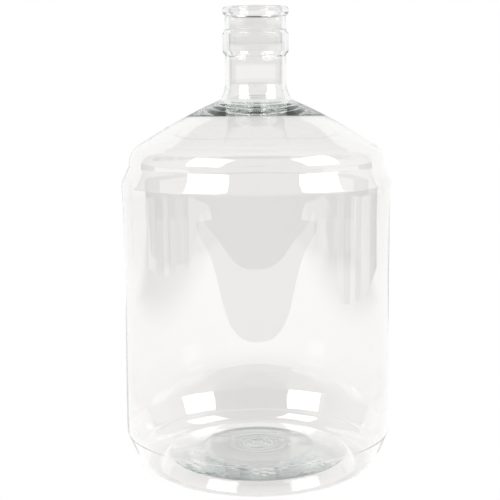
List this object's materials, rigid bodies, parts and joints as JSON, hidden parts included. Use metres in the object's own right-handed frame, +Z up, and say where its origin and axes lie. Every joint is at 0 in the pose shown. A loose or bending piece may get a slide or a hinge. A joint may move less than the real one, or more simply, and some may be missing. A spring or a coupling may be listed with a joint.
{
  "type": "fermenting carboy",
  "caption": "Clear one-piece plastic carboy: domed shoulder, rolled bead, pushed-up base and a plain neck with a lip and a raised band.",
  "frame": {"origin": "centre of the foot ring, on the surface the bottle stands on", "axes": "+Z up along the axis of revolution, from the foot to the mouth; +X and +Y are any two directions across it"},
  "size_m": [0.2298, 0.2298, 0.394],
  "materials": {
    "clear_pet": "gloss"
  },
  "bodies": {
    "root": {"lip": "clear_pet", "upper_neck": "clear_pet", "neck_band": "clear_pet", "neck": "clear_pet", "neck_root": "clear_pet", "shoulder": "clear_pet", "shoulder_bead": "clear_pet", "body_wall": "clear_pet", "tapered_foot_wall": "clear_pet", "heel": "clear_pet", "foot_ring": "clear_pet", "foot_inner_wall": "clear_pet", "base_dome": "clear_pet", "gate_nub": "clear_pet"}
  },
  "joints": []
}
